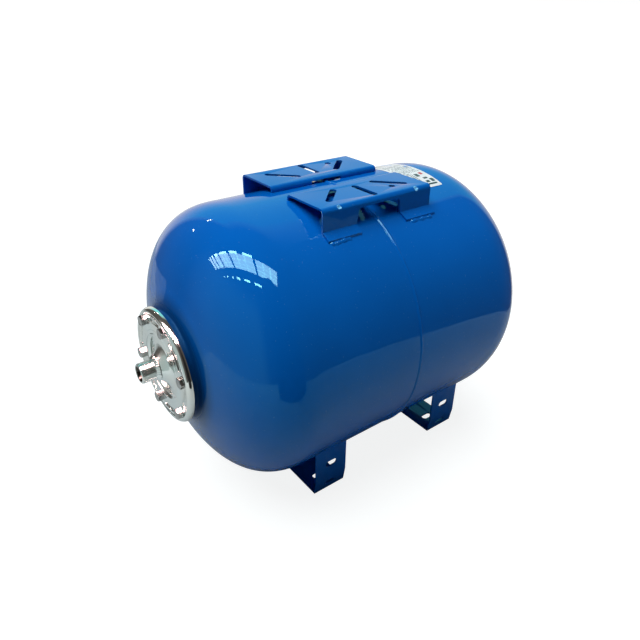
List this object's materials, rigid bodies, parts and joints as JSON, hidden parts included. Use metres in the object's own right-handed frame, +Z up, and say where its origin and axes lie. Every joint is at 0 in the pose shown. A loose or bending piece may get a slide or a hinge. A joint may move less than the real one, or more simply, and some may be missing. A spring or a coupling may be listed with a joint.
{
  "type": "expansion vessel",
  "caption": "Horizontal blue pressure vessel on two feet, with a bolted zinc port flange, threaded water nipple, bladder, air valve and a slotted platform for a pump.",
  "frame": {"origin": "on the floor, at the centre of the pattern of four floor slots in the two feet", "axes": "+X along the tank towards the air valve with the water port at -X, +Z up, +Y to the left when looking along +X"},
  "size_m": [0.5885, 0.3724, 0.424],
  "materials": {
    "blue_paint": "gloss powder coat",
    "zinc_plate": "bright zinc plate on pressed steel",
    "bolt_zinc": "zinc plated",
    "raw_steel": "bare machined steel",
    "black_rubber": "matt moulded rubber",
    "valve_brass": "turned brass",
    "spring_wire": "drawn wire",
    "black_plastic": "moulded, knurled",
    "cover_plastic": "fine moulded texture",
    "label_film": "satin printed film"
  },
  "bodies": {
    "vessel": {"front_shell": "blue_paint", "rear_shell": "blue_paint", "girth_weld": "blue_paint", "neck_ring": "raw_steel", "flange_plate": "zinc_plate", "water_nipple": "zinc_plate", "nipple_weld": "zinc_plate", "flange_bolts": "bolt_zinc", "bladder": "black_rubber", "valve_boss": "raw_steel", "boss_weld": "blue_paint", "valve_gasket": "black_rubber", "valve_body": "valve_brass", "valve_core_body": "valve_brass", "valve_core_spring": "spring_wire", "top_bracket_right": "blue_paint", "top_bracket_left": "blue_paint", "front_foot": "blue_paint", "rear_foot": "blue_paint", "bracket_welds": "blue_paint", "foot_welds": "blue_paint", "rating_label": "label_film"},
    "cover": {"valve_cover": "cover_plastic"},
    "cap_washer": {"valve_cap_seal": "black_rubber"},
    "cap": {"valve_cap": "black_plastic"},
    "core_pin": {"valve_core_pin": "valve_brass", "valve_core_seal": "black_rubber"}
  },
  "joints": [
    {"name": "cover_pull", "type": "slide", "parent": "vessel", "child": "cover", "axis": [1, 0, 0], "range_m": [0, 0.036]},
    {"name": "cap_lift", "type": "slide", "parent": "vessel", "child": "cap_washer", "axis": [1, 0, 0], "range_m": [0, 0.004]},
    {"name": "cap_turn", "type": "hinge", "parent": "cap_washer", "child": "cap", "pos_m": [0.2355, 0, 0.232], "axis": [1, 0, 0], "range_deg": [0, 1800]},
    {"name": "core_press", "type": "slide", "parent": "vessel", "child": "core_pin", "axis": [-1, 0, 0], "range_m": [0, 0.0012], "stiffness_N_per_m": 400, "deforming": ["valve_core_spring"]}
  ],
  "couplings": [
    {"joint": "cap_lift", "follows": "cap_turn", "m_per_rad": 0.00012637}
  ]
}
